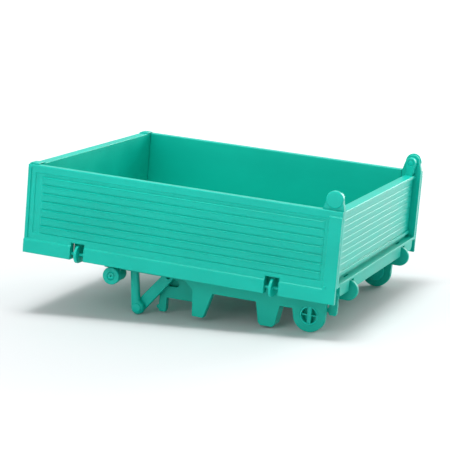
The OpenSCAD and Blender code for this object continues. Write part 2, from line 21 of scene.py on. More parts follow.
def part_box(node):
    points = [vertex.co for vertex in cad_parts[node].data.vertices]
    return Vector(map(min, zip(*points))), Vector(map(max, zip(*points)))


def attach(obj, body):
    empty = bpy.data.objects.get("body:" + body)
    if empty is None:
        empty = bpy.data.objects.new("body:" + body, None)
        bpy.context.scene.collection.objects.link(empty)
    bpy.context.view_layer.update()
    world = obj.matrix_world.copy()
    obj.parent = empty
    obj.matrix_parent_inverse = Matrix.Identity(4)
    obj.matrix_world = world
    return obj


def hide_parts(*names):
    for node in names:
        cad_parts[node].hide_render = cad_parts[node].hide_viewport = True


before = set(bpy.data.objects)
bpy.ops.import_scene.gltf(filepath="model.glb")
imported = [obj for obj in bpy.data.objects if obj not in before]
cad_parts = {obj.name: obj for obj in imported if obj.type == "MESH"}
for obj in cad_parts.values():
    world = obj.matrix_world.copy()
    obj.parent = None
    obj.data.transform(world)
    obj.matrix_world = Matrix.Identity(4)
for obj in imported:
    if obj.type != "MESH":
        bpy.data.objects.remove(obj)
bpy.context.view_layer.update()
LOG = logging.getLogger("trailer_body")
MM = 0.001
SMOOTH_ANGLE = math.radians(38)
MERGE = 2e-7
QUARTER = np.radians([0, 30, 60, 90])
Array = np.ndarray

# Body: overall sizes, floor, and the lines that several pieces turn on or meet at
LENGTH = 160.0
BED_WIDTH = 144.0
WALL_TOP = 43.6
FLOOR_LOW = 9.8
FLOOR_END = 152.0
HINGE_X = (29.0, 129.0)
HINGE_AT = (2.3, 3.0)
HINGE_PIN = 0.8
GATE_PIVOT = (155.0, 48.5)
GATE_PIN = 1.5
STAY_TOP = (51.4, -1.5)
STAY_PIN = 1.2
ROLLER_AT = (43.4, -7.1)
RAIL_Y = 25.5
RAIL_T = 2.0
RUN_GAP = 0.05

# Ribs: width of a rounded flank, the bead's distance from the upper edge and half its width
RIB_FLANK = 0.3
BEAD_AT = 0.5
BEAD_HALF = 0.4

# Smallest offset, which makes a step sharp or keeps two faces from lying in one plane
CREASE = 0.02


class Side(Enum):
    """Which half of the body a piece belongs to."""

    LEFT = "left"
    RIGHT = "right"
    MIDDLE = "middle"


class Plane(Enum):
    """Plane a profile is drawn in, as (axis of u, axis of v, axis of depth, turns inside out)."""

    SIDE = (0, 2, 1, True)
    CROSS = (1, 2, 0, False)
    TOP = (0, 1, 2, False)


# ---- shells: plain arrays of points and faces ----


@dataclass
class Shell:
    """Closed skin: points (n, 3) in bench millimetres, faces (m, 4); a triangle repeats its last corner."""

    points: Array
    faces: Array


def joined(shells: Iterable[Shell]) -> Shell:
    """Puts several shells into one set of points and faces.

    Args:
        shells: the shells to join.

    Returns:
        One shell that holds them all.
    """
    points, faces, count = [], [], 0
    for shell in shells:
        points.append(shell.points)
        faces.append(shell.faces + count)
        count += len(shell.points)
    return Shell(np.concatenate(points), np.concatenate(faces))


def in_plane(plane: Plane, uvw: Array, faces: Array) -> Shell:
    """Lays a shape drawn as (u, v, depth) into the bench axes, facing outwards.

    Args:
        plane: the plane of the shape.
        uvw: points as (u, v, depth).
        faces: faces of the shape.

    Returns:
        A shell in bench axes.
    """
    u, v, w, turned = plane.value
    points = np.empty_like(uvw)
    points[:, [u, v, w]] = uvw
    return Shell(points, faces[:, ::-1] if turned else faces)


def band(rows: int, columns: int, closed: bool = True) -> Array:
    """Quads between the rows of a (rows, columns) grid of points; the columns may close on themselves.

    Args:
        rows: number of rows.
        columns: number of points in a row.
        closed: True where a row closes on itself.

    Returns:
        The quads, as rows of four point numbers.
    """
    i, j = np.meshgrid(np.arange(rows - 1), np.arange(columns if closed else columns - 1), indexing="ij")
    nxt = (j + 1) % columns
    return np.stack([i * columns + j, i * columns + nxt, (i + 1) * columns + nxt, (i + 1) * columns + j],
                    axis=-1).reshape(-1, 4)


def arc(centre: Sequence[float], radius: float, start: float, end: float, count: int = 12) -> Array:
    """Points of a circular arc from start to end, in degrees."""
    a = np.radians(np.linspace(start, end, count))
    return np.stack([centre[0] + radius * np.cos(a), centre[1] + radius * np.sin(a)], axis=1)


def polygon(*parts: object) -> Array:
    """Chains single points and arcs into one outline."""
    return np.concatenate([np.atleast_2d(np.asarray(p, float)) for p in parts])


def rectangle(u0: float, v0: float, u1: float, v1: float) -> Array:
    """Outline of a rectangle from its low corner to its high corner."""
    return polygon([(u0, v0), (u1, v0), (u1, v1), (u0, v1)])


def corner_lists(faces: Array) -> list[list[int]]:
    """Faces as lists of different corners; a face with fewer than three of them is left out."""
    rows = [list(dict.fromkeys(row)) for row in faces.tolist()]
    return [row for row in rows if len(row) > 2]


def outward_miters(loop: Array) -> Array:
    """Miter vectors of a closed outline: moving each point by one moves both its edges out by one.

    Args:
        loop: the outline.

    Returns:
        One vector for each point.
    """
    step = np.roll(loop, -1, axis=0) - loop
    step /= np.linalg.norm(step, axis=1, keepdims=True)
    normal = np.stack([step[:, 1], -step[:, 0]], axis=1)
    before = np.roll(normal, 1, axis=0)
    return (normal + before) / (1 + np.sum(normal * before, axis=1, keepdims=True))


def signed_area(loop: Array) -> float:
    """Area inside a closed outline, positive when it runs anticlockwise."""
    nxt = np.roll(loop, -1, axis=0)
    return float(0.5 * np.sum(loop[:, 0] * nxt[:, 1] - nxt[:, 0] * loop[:, 1]))


def plate(plane: Plane, outline: Array, depth: float, thickness: float, edge: float = 0.25,
          holes: Sequence[Array] = (), steps: int = 3, crown: float = 0.0) -> Shell:
    """Flat moulding with rounded rims.

    The rim is a quarter circle at each face: ring k of every loop is the loop moved in by
    edge (1 - sin a) at depth edge (1 - cos a), mirrored at the far face. crown widens the
    first quarter circle, so that the near face becomes a half-round back.

    Args:
        plane: the plane of the outline.
        outline: closed outline, any direction.
        depth: where the near face lies.
        thickness: distance between the two faces.
        edge: radius of the rims.
        holes: closed outlines cut through the plate.
        steps: facets of a quarter circle.
        crown: radius of the near rim where it is larger than edge.

    Returns:
        A closed shell.
    """
    near, far = max(crown, edge), edge
    a = np.linspace(0, math.pi / 2, (steps if crown <= edge else 3 * steps) + 1)
    b = np.linspace(math.pi / 2, 0, steps + 1)
    inset = np.concatenate([near * (1 - np.sin(a)), far * (1 - np.sin(b))])
    level = depth + np.concatenate([near * (1 - np.cos(a)), thickness - far * (1 - np.cos(b))])
    loops = [outline if signed_area(outline) > 0 else outline[::-1]]
    loops += [h if signed_area(h) < 0 else h[::-1] for h in holes]
    points, faces, first, last, count = [], [], [], [], 0
    for n, loop in enumerate(loops):
        share = inset if n == 0 else far * inset / near
        ring = loop[None] - share[:, None, None] * outward_miters(loop)[None]
        rows = np.broadcast_to(level[:, None, None], (len(level), len(loop), 1))
        points.append(np.concatenate([ring, rows], axis=2).reshape(-1, 3))
        faces.append(band(len(level), len(loop)) + count)
        first.append(np.arange(len(loop)) + count)
        last.append(np.arange(len(loop)) + count + (len(level) - 1) * len(loop))
        count += len(points[-1])
    every = np.concatenate(points)
    for ids, facing in ((first, -1), (last, 1)):
        flat = np.concatenate(ids)
        corners = np.array(tessellate_polygon([[Vector(every[k]).to_2d() for k in loop] for loop in ids]))
        p, q, r = (every[flat[corners[:, k]], :2] for k in range(3))
        turn = np.sign((q[:, 0] - p[:, 0]) * (r[:, 1] - p[:, 1]) - (q[:, 1] - p[:, 1]) * (r[:, 0] - p[:, 0]))
        corners = np.where((turn * facing > 0)[:, None], corners, corners[:, ::-1])
        faces.append(flat[corners[:, [0, 1, 2, 2]]])
    return in_plane(plane, every, np.concatenate(faces))


def lathe(plane: Plane, centre: Sequence[float], profile: Sequence[Sequence[float]], count: int) -> Shell:
    """Turned moulding: the profile's (radius, depth) points carried round the centre in equal steps.

    Args:
        plane: the plane of the shape.
        centre: the line it is turned round.
        profile: (radius, depth) of each ring.
        count: points of a ring.

    Returns:
        A closed shell.
    """
    shape = np.asarray(profile, float)
    a = np.linspace(0, 2 * math.pi, count, endpoint=False)
    u = centre[0] + shape[:, :1] * np.cos(a)
    v = centre[1] + shape[:, :1] * np.sin(a)
    w = np.broadcast_to(shape[:, 1:], u.shape)
    return in_plane(plane, np.stack([u, v, w], axis=-1).reshape(-1, 3), band(len(shape), count))


def rod(radius: float, start: float, end: float, rim: float = 0.2) -> list[tuple[float, float]]:
    """Profile of a plain rod with rounded ends, for lathe."""
    near = [(radius - rim + rim * math.sin(t), start + rim - rim * math.cos(t)) for t in QUARTER]
    return [(0, start)] + near + [(r, start + end - w) for r, w in reversed(near)] + [(0, end)]


def slab(plane: Plane, u: Array, v: Array, near: Array, far: Array, keep: Array) -> Shell:
    """Sheet between two height fields on one grid.

    Both faces are functions of the two grid parameters; a cell outside keep is left open, and
    a wall joins both faces wherever a kept cell has no kept neighbour.

    Args:
        plane: the plane of the grid.
        u: grid lines of the first parameter.
        v: grid lines of the second parameter.
        near: depth of the near face at every crossing.
        far: depth of the far face at every crossing.
        keep: True for each cell that is solid.

    Returns:
        A closed shell.
    """
    nu, nv = len(u), len(v)
    grid_u, grid_v = np.meshgrid(u, v, indexing="ij")
    top = np.stack([grid_u, grid_v, near], axis=-1).reshape(-1, 3)
    low = np.stack([grid_u, grid_v, far], axis=-1).reshape(-1, 3)
    i, j = np.nonzero(keep)
    corner = np.stack([i * nv + j, (i + 1) * nv + j, (i + 1) * nv + j + 1, i * nv + j + 1], axis=1)
    faces = [corner[:, ::-1], corner + nu * nv]
    ring = np.pad(keep, 1)
    neighbours = (ring[1:-1, :-2], ring[2:, 1:-1], ring[1:-1, 2:], ring[:-2, 1:-1])
    for k, beside in enumerate(neighbours):
        open_cells = ~beside[i, j]
        p, q = corner[open_cells, k], corner[open_cells, (k + 1) % 4]
        faces.append(np.stack([p, q, q + nu * nv, p + nu * nv], axis=1))
    return in_plane(plane, np.concatenate([top, low]), np.concatenate(faces))


def ramp(value: Array, middle: float, width: float) -> Array:
    """Smooth step from 0 to 1 across width round middle: 3 t squared minus 2 t cubed."""
    t = np.clip((value - middle) / width + 0.5, 0, 1)
    return t * t * (3 - 2 * t)


def between(value: Array, low: float, high: float, width: float) -> Array:
    """1 between low and high, with smooth steps at both."""
    return ramp(value, low, width) * (1 - ramp(value, high, width))


def grid_lines(low: float, high: float, spacing: float, steps: Iterable[float], width: float, ends: float,
               exact: Iterable[float]) -> Array:
    """Grid lines from low to high, packed close at smooth steps and at the rounded ends.

    Args:
        low: where the first line lies.
        high: where the last line lies.
        spacing: distance of the lines where nothing happens.
        steps: middles of the smooth steps.
        width: width of a smooth step.
        ends: radius of the rounded ends.
        exact: places that need a line of their own.

    Returns:
        The places of the lines, in order.
    """
    count = max(2, int(round((high - low) / spacing)) + 1)
    lines = [np.linspace(low, high, count), np.asarray(list(exact), float)]
    lines += [middle + width * np.linspace(-0.5, 0.5, 6) for middle in steps]
    rim = ends * (1 - np.cos(QUARTER))
    lines += [low + rim, high - rim]
    every = np.unique(np.round(np.concatenate(lines), 4))
    return every[(every >= low - 1e-6) & (every <= high + 1e-6)]


def fall(distance: Array, radius: float) -> Array:
    """How far a rounded edge has fallen at a distance from it: radius minus the circle's height."""
    d = np.clip(radius - distance, 0, radius)
    return radius - np.sqrt(radius * radius - d * d)


def rib_rise(value: Array, low: float, high: float, count: int, bulge: float, space: float,
             bead: float) -> Array:
    """Row of count flat ribs between low and high.

    Each rib rises by bulge over a short rounded flank at both edges, a quarter of a circle long,
    and carries a bead, a squared cosine across, along its upper edge.

    Args:
        value: heights at which the rise is wanted.
        low: lower end of the row.
        high: upper end of the row.
        count: number of ribs.
        bulge: height of a rib.
        space: groove between two ribs.
        bead: height of the bead on a rib.

    Returns:
        How far the surface stands out at every height.
    """
    pitch = (high - low) / count
    along = (value - low) / pitch
    up = np.mod(along, 1) * pitch - space / 2
    down = pitch - space - up
    inside = (along > 0) & (along < count) & (up > 0) & (down > 0)
    share = np.clip(np.minimum(up, down) / RIB_FLANK, 0, 1)
    crest = np.clip((down - BEAD_AT) / BEAD_HALF, -1, 1)
    rise = bulge * np.sqrt(1 - (1 - share) ** 2) + bead * np.cos(crest * math.pi / 2) ** 2
    return np.where(inside, rise, 0)


def rib_rows(low: float, high: float, count: int, space: float) -> list[float]:
    """Heights of the grid lines that follow the flanks and the beads of a row of ribs.

    Args:
        low: lower end of the row.
        high: upper end of the row.
        count: number of ribs.
        space: groove between two ribs.

    Returns:
        The heights, in no order.
    """
    pitch = (high - low) / count
    half = (pitch - space) / 2
    flank = [side * (half - RIB_FLANK * part) for side in (-1, 1) for part in (0, 0.1, 0.4, 1)]
    bead = [half - BEAD_AT + BEAD_HALF * part for part in (-1, -0.6, -0.3, 0, 0.3, 0.6)]
    return [low + (k + 0.5) * pitch + step for k in range(count) for step in flank + bead]


# ---- finishes ----


@dataclass(frozen=True)
class MouldedPlastic:
    """Semi-gloss injection-moulded plastic: faint flow marks, mould grain and rounded sheen."""

    name: str
    slot: str
    colour: tuple[float, float, float]
    roughness: float
    grain: float
    flow: float = 0.06
    ior: float = 1.49
    specular: float = 0.22
    translucency: float = 0.12
    bleed: float = 0.0012
    sheen_below: float = 0.07
    sheen_above: float = 0.09

    def material(self) -> bpy.types.Material:
        """Makes the finish's material once and returns it.

        Returns:
            The material, which later calls return again.
        """
        found = bpy.data.materials.get(self.name)
        if found:
            return found
        material = bpy.data.materials.new(self.name)
        material.use_nodes = True
        tree = material.node_tree
        tree.nodes.clear()

        def node(kind: str, **values: object) -> bpy.types.Node:
            """New node with its sockets or settings set by name."""
            made = tree.nodes.new(kind)
            for key, value in values.items():
                if key in made.inputs:
                    made.inputs[key].default_value = value
                else:
                    setattr(made, key, value)
            return made

        def link(source: bpy.types.Node, out: str, target: bpy.types.Node, into: str) -> None:
            """Joins a socket of source to a socket of target."""
            tree.links.new(source.outputs[out], target.inputs[into])

        place = node("ShaderNodeTexCoord")
        stretch = node("ShaderNodeMapping", Scale=(0.35, 1.0, 1.0))
        link(place, "Object", stretch, "Vector")
        flow = node("ShaderNodeTexNoise", Scale=55.0, Detail=4.0, Roughness=0.55)
        link(stretch, "Vector", flow, "Vector")
        tone = node("ShaderNodeMapRange", **{"From Min": 0.3, "From Max": 0.7, "To Min": 1 - self.flow,
                                             "To Max": 1 + self.flow})
        link(flow, "Fac", tone, "Value")
        tint = node("ShaderNodeHueSaturation", Color=(*self.colour, 1))
        link(tone, "Result", tint, "Value")
        grain = node("ShaderNodeTexNoise", Scale=2600.0, Detail=3.0, Roughness=0.6)
        link(place, "Object", grain, "Vector")
        sheen = node("ShaderNodeMapRange", **{"To Min": self.roughness - self.sheen_below,
                                              "To Max": self.roughness + self.sheen_above})
        link(flow, "Fac", sheen, "Value")
        bump = node("ShaderNodeBump", Strength=self.grain, Distance=0.00003)
        link(grain, "Fac", bump, "Height")
        plastic = node("ShaderNodeBsdfPrincipled", **{
            "IOR": self.ior, "Specular IOR Level": self.specular, "Subsurface Weight": self.translucency,
            "Subsurface Radius": (0.4, 1.0, 0.9), "Subsurface Scale": self.bleed})
        link(tint, "Color", plastic, "Base Color")
        link(sheen, "Result", plastic, "Roughness")
        link(bump, "Normal", plastic, "Normal")
        out = node("ShaderNodeOutputMaterial")
        link(plastic, "BSDF", out, "Surface")
        return material


BODY_FINISH = MouldedPlastic("turquoise_body", "moulded_body", (0.0015, 0.475, 0.375), roughness=0.33,
                             grain=0.30)
# Painted shade: the underframe is the body's own turquoise plastic, given a darker colour for the shadow
# under the floor; its higher roughness and grain are real
UNDER_SHADED_FINISH = MouldedPlastic("turquoise_underframe_painted_shade", "moulded_underframe", (0.0015, 0.435, 0.335),
                              roughness=0.44, grain=0.45)
PIN_FINISH = MouldedPlastic("turquoise_pins", "moulded_pin", (0.002, 0.50, 0.40), roughness=0.30, grain=0.18,
                            flow=0.03)


# ---- placing ----


@dataclass(frozen=True)
class Bench:
    """Where the bench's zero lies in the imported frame, in metres."""

    zero: tuple[float, float, float]

    @classmethod
    def from_frame(cls) -> "Bench":
        """Reads the zero from the left side flap's front lower corner and the bed's width."""
        low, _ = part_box("side_flap_left")
        return cls((float(low[0]), -0.5 * BED_WIDTH * MM, float(low[2])))

    def placed(self, points: Array, side: Side) -> Array:
        """Bench millimetres to frame metres; the right side is mirrored.

        Args:
            points: points on the bench, in millimetres.
            side: which half the piece belongs to.

        Returns:
            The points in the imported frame, in metres.
        """
        out = points * MM + np.array(self.zero)
        if side is Side.RIGHT:
            out[:, 1] *= -1
        return out


@dataclass
class Maker:
    """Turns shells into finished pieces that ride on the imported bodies."""

    bench: Bench
    made: list[str] = field(default_factory=list)

    def piece(self, name: str, shells: Sequence[Shell], side: Side, finish: MouldedPlastic, body: str,
              *nodes: str) -> bpy.types.Object:
        """Makes one piece.

        Args:
            name: the piece's name.
            shells: its closed shells, on the bench.
            side: RIGHT mirrors it across the bed.
            finish: what it is made of.
            body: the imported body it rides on.
            nodes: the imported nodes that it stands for.

        Returns:
            The finished object, at the origin.
        """
        shell = joined(shells)
        points = self.bench.placed(shell.points, side)
        faces = shell.faces[:, ::-1] if side is Side.RIGHT else shell.faces
        keys = np.round(points / MERGE).astype(np.int64)
        _, first, same = np.unique(keys, axis=0, return_index=True, return_inverse=True)
        points, faces = points[first], same.reshape(-1)[faces]
        rows = corner_lists(faces)
        mesh = bpy.data.meshes.new(name)
        mesh.from_pydata(points.tolist(), [], rows)
        mesh.validate()
        edit = bmesh.new()
        edit.from_mesh(mesh)
        bmesh.ops.delete(edit, geom=[v for v in edit.verts if not v.link_faces], context="VERTS")
        edit.to_mesh(mesh)
        edit.free()
        mesh.shade_smooth()
        mesh.set_sharp_from_angle(angle=SMOOTH_ANGLE)
        mesh.materials.append(finish.material())
        piece = bpy.data.objects.new(name, mesh)
        bpy.context.scene.collection.objects.link(piece)
        normals = piece.modifiers.new("even_normals", "WEIGHTED_NORMAL")
        normals.keep_sharp = True
        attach(piece, body)
        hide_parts(*nodes)
        self.made.append(name)
        LOG.info("%s: %d faces, rides on %s", name, len(rows), body)
        return piece


# ---- side flaps ----


@dataclass
class SideFlap:
    """Ribbed drop side with its bottom flange, end border, hinge notches and cross pins."""

    side: Side
    thickness: float = 4.6
    flange: float = 6.4
    proud: float = 0.7
    border: float = 153.8
    border_top: float = 41.0
    field_x: float = 4.4
    field_z: tuple[float, float] = (10.4, 40.0)
    field_depth: float = 0.5
    groove_x: tuple[float, float] = (1.8, 2.4)
    groove_z: tuple[float, float] = (7.4, 42.2)
    rib_x: tuple[float, float] = (8.0, 152.0)
    rib_z: tuple[float, float] = (10.6, 38.6)
    rib_end: float = 1.4
    ribs: int = 7
    bulge: float = 0.35
    rib_gap: float = 0.3
    bead: float = 0.45
    notch: tuple[float, float] = (7.0, 8.3)
    pin_hold: float = 0.4
    nub_at: tuple[float, float] = (154.9, 7.6)
    front_seat: float = 4.92
    rear_seat: float = 149.3
    end_skin: float = 2.0
    edge: float = 0.35
    soft: float = 0.3
    step: float = 0.4

    def outer_face(self, x: Array, z: Array) -> Array:
        """Depth of the outer face.

        The flange and the border lie at 0, the panel at proud and the field below it. The ribs
        stand out of the field, and their ends fall away over a quarter of a circle.

        Args:
            x: grid of places along the flap.
            z: grid of heights.

        Returns:
            The depth at every crossing.
        """
        border = ramp(x, self.border, self.soft) * (1 - ramp(z, self.border_top, self.step))
        depth = self.proud * ramp(z, self.flange + self.proud / 2, self.proud) * (1 - border)
        inside = between(x, self.field_x, self.border, self.step) * between(z, *self.field_z, self.step)
        depth = depth + (self.proud + self.field_depth - depth) * inside
        groove = between(x, *self.groove_x, self.soft) * between(z, *self.groove_z, self.soft)
        depth += self.field_depth * groove
        ribs = rib_rise(z, *self.rib_z, self.ribs, self.bulge, self.rib_gap, self.bead)
        start, end = self.rib_x
        reach = np.clip(np.minimum(x - start, end - x) / self.rib_end, 0, 1)
        return depth - ribs * np.sqrt(1 - (1 - reach) ** 2)

    def edge_distance(self, x: Array, z: Array) -> Array:
        """Distance of a point from the nearest free edge of the flap, its notches included.

        Args:
            x: grid of places along the flap.
            z: grid of heights.

        Returns:
            The distance at every crossing, 0 past an edge.
        """
        near = np.minimum.reduce([x, LENGTH - x, z, WALL_TOP - z])
        wide, tall = self.notch
        for middle in HINGE_X:
            near = np.minimum(near, np.maximum(np.abs(x - middle) - wide / 2, z - tall))
        return np.maximum(near, 0)

    def lines_along(self) -> Array:
        """Grid lines along the flap, close together at the notches, the seats and the ribs' ends.

        Returns:
            The places of the lines, in order.
        """
        notch_edges = [m + s * self.notch[0] / 2 for m in HINGE_X for s in (-1, 1)]
        close = [e + s * self.edge * k for e in notch_edges for s in (-1, 1) for k in (0, 0.13, 0.5, 1)]
        seats = [self.front_seat, self.front_seat + CREASE, self.rear_seat, self.rear_seat - CREASE]
        ends = [e + s * k for e, s in zip(self.rib_x, (1, -1)) for k in (0, 0.1, 0.4, 0.9, self.rib_end)]
        steps = (self.border, self.field_x, *self.groove_x)
        return grid_lines(0, LENGTH, 4.0, steps, self.step, self.edge, close + seats + ends)

    def lines_up(self) -> Array:
        """Grid lines up the flap, close together at the flange, the notches and the ribs.

        Returns:
            The heights of the lines, in order.
        """
        low, high = self.rib_z
        rows = rib_rows(low, high, self.ribs, self.rib_gap)
        bevel = [self.flange, self.flange + self.proud]
        over_notch = [self.notch[1] + k for k in (0, 0.05, 0.17, self.edge)]
        steps = (self.flange + self.proud / 2, self.border_top, *self.field_z, *self.groove_z)
        return grid_lines(0, WALL_TOP, 2.5, steps, self.step, self.edge, rows + bevel + over_notch)

    def panel(self) -> Shell:
        """The moulded sheet itself, thinner in front of the posts.

        Returns:
            A closed shell.
        """
        x, z = self.lines_along(), self.lines_up()
        gx, gz = np.meshgrid(x, z, indexing="ij")
        drop = fall(self.edge_distance(gx, gz), self.edge)
        near = self.outer_face(gx, gz) + drop
        thin = (gx <= self.front_seat) | (gx >= self.rear_seat)
        far = np.where(thin, self.end_skin, self.thickness - drop)
        mx, mz = np.meshgrid((x[1:] + x[:-1]) / 2, (z[1:] + z[:-1]) / 2, indexing="ij")
        wide, tall = self.notch
        keep = np.ones(mx.shape, bool)
        for middle in HINGE_X:
            keep &= ~((np.abs(mx - middle) < wide / 2) & (mz < tall))
        return slab(Plane.SIDE, x, z, near, far, keep)

    def nub(self) -> Shell:
        """Small round ejector mark near the rear end."""
        dome = [(0, -0.3), (0.45, -0.28), (0.7, -0.12), (0.8, 0.2), (0, 0.25)]
        return lathe(Plane.SIDE, self.nub_at, dome, 20)

    def build(self, maker: Maker) -> None:
        """Makes the flap and its cross pins.

        Args:
            maker: turns the shells into finished pieces.
        """
        s = self.side.value
        maker.piece(f"side_flap_{s}_moulding", [self.panel(), self.nub()], self.side, BODY_FINISH,
                    f"{s}_flap", f"side_flap_{s}")
        reach = self.notch[0] / 2 + self.pin_hold
        pins = [lathe(Plane.CROSS, HINGE_AT, rod(HINGE_PIN, m - reach, m + reach, 0.1), 24) for m in HINGE_X]
        maker.piece(f"flap_pins_{s}_moulding", pins, self.side, PIN_FINISH, f"{s}_flap", f"flap_pins_{s}")


@dataclass
class HingeEars:
    """Round-ended plates of the bed that reach out through the flap's notches."""

    side: Side
    radius: float = 4.4
    thickness: float = 1.3
    neck_drop: float = 1.6
    neck_lap: float = 1.0
    root_y: tuple[float, float] = (6.5, 14.0)
    root_z: tuple[float, float] = (0.7, 9.8)
    root_half: float = 4.5

    def ear(self, middle: float) -> Shell:
        """One ear: half disc and the neck that runs into the root block.

        Args:
            middle: the middle of the ear's hinge along the body.

        Returns:
            A closed shell.
        """
        z = HINGE_AT[1]
        back = self.root_y[0] + self.neck_lap
        outline = polygon(arc(HINGE_AT, self.radius, 40, 270, 22),
                          [(back, z - self.radius), (back, z + self.radius - self.neck_drop)])
        hole = arc(HINGE_AT, HINGE_PIN + RUN_GAP, 0, 345, 24)
        return plate(Plane.CROSS, outline, middle - self.thickness / 2, self.thickness, 0.2, (hole,))

    def root(self, middle: float) -> Shell:
        """Block under the floor behind the notch, which carries the ear."""
        (y0, y1), (z0, z1) = self.root_y, self.root_z
        return plate(Plane.CROSS, rectangle(y0, z0, y1, z1), middle - self.root_half, 2 * self.root_half, 0.3)

    def build(self, maker: Maker) -> None:
        """Makes both ears of a side as one piece.

        Args:
            maker: turns the shells into finished pieces.
        """
        s = self.side.value
        shells = [make(m) for m in HINGE_X for make in (self.ear, self.root)]
        maker.piece(f"hinge_ears_{s}_moulding", shells, self.side, BODY_FINISH, "bed", f"hinge_ears_{s}")


# ---- bed, walls and posts ----


@dataclass
class BedShell:
    """Floor, front wall, front corner posts and rear sill."""

    front_t: float = 4.8
    floor_t: float = 2.2
    floor_y: float = 4.9
    wall_low: float = 0.7
    wall_lap: float = 0.5
    post_y: tuple[float, float] = (2.3, 9.7)
    post_z: tuple[float, float] = (7.2, 44.0)
    cap_x: tuple[float, float] = (0.3, 4.8)
    cap_y: tuple[float, float] = (2.6, 8.2)
    cap_z: tuple[float, float] = (43.0, 44.35)
    sill_x: float = 157.2
    sill_z: tuple[float, float] = (2.4, 8.7)
    sill_in: float = 8.0
    sill_bevel: float = 1.6
    slot_top: float = 7.3
    slot_gap: float = 2.5
    step_low: float = 5.1
    step_in: float = 0.1
    step_sink: float = 0.02
    step_lap: float = 0.5
    ledge_z: tuple[float, float] = (8.1, 9.9)
    ledge_x: float = 4.0
    ledge_in: float = 0.3

    def floor(self, maker: Maker) -> None:
        """Flat floor between the flaps."""
        area = rectangle(self.front_t, self.floor_y, FLOOR_END, BED_WIDTH - self.floor_y)
        maker.piece("floor_moulding", [plate(Plane.TOP, area, FLOOR_LOW, self.floor_t, 0.15)], Side.MIDDLE,
                    UNDER_SHADED_FINISH, "bed", "floor_plate")

    def front_wall(self, maker: Maker) -> None:
        """Plain wall between the front posts.

        Args:
            maker: turns the shells into finished pieces.
        """
        inner = self.post_y[1] - self.wall_lap
        area = rectangle(inner, self.wall_low, BED_WIDTH - inner, WALL_TOP)
        maker.piece("front_wall_moulding", [plate(Plane.CROSS, area, 0, self.front_t, 0.35)], Side.MIDDLE,
                    BODY_FINISH, "bed", "front_wall")

    def front_post(self, maker: Maker, side: Side) -> None:
        """Corner post that stands a little above the walls, with a small half-round cap.

        Args:
            maker: turns the shells into finished pieces.
            side: which half the piece belongs to.
        """
        (y0, y1), (z0, z1) = self.post_y, self.post_z
        block = plate(Plane.SIDE, rectangle(0, z0, self.front_t, z1), y0, y1 - y0, 0.15)
        (cx0, cx1), (cy0, cy1), (cz0, cz1) = self.cap_x, self.cap_y, self.cap_z
        cap = plate(Plane.TOP, rectangle(cx0, cy0, cx1, cy1), cz0, cz1 - cz0, 0.4)
        s = side.value
        maker.piece(f"front_post_{s}_moulding", [block, cap], side, BODY_FINISH, "bed", f"front_post_{s}")

    def sill(self, maker: Maker) -> None:
        """Rear sill: face plate with two slots for the rail noses, and the step under the floor's end.

        Args:
            maker: turns the shells into finished pieces.
        """
        (low, high), a, b = self.sill_z, self.sill_in, BED_WIDTH - self.sill_in
        slot0, slot1 = RAIL_Y - self.slot_gap, RAIL_Y + RAIL_T + self.slot_gap
        half = [(a, high), (a, low + self.sill_bevel), (a + self.sill_bevel, low), (slot0, low),
                (slot0, self.slot_top), (slot1, self.slot_top), (slot1, low)]
        outline = polygon(half, [(BED_WIDTH - y, z) for y, z in reversed(half)])
        face = plate(Plane.CROSS, outline, self.sill_x, LENGTH - self.sill_x, 0.3)
        spans = [(a + self.step_in, slot0), (slot1, BED_WIDTH - slot1), (BED_WIDTH - slot0, b - self.step_in)]
        depth = self.sill_x - FLOOR_END + self.step_lap
        step_top = high - self.step_sink
        steps = [plate(Plane.CROSS, rectangle(p, self.step_low, q, step_top), FLOOR_END, depth, 0.1)
                 for p, q in spans]
        ledge = rectangle(a + self.ledge_in, self.ledge_z[0], b - self.ledge_in, self.ledge_z[1])
        rest = plate(Plane.CROSS, ledge, FLOOR_END, self.ledge_x, 0.1)
        maker.piece("rear_sill_moulding", [face, rest, *steps], Side.MIDDLE, UNDER_SHADED_FINISH, "bed", "rear_sill")

    def build(self, maker: Maker) -> None:
        """Makes the bed's large flat mouldings.

        Args:
            maker: turns the shells into finished pieces.
        """
        self.floor(maker)
        self.front_wall(maker)
        for side in (Side.LEFT, Side.RIGHT):
            self.front_post(maker, side)
        self.sill(maker)


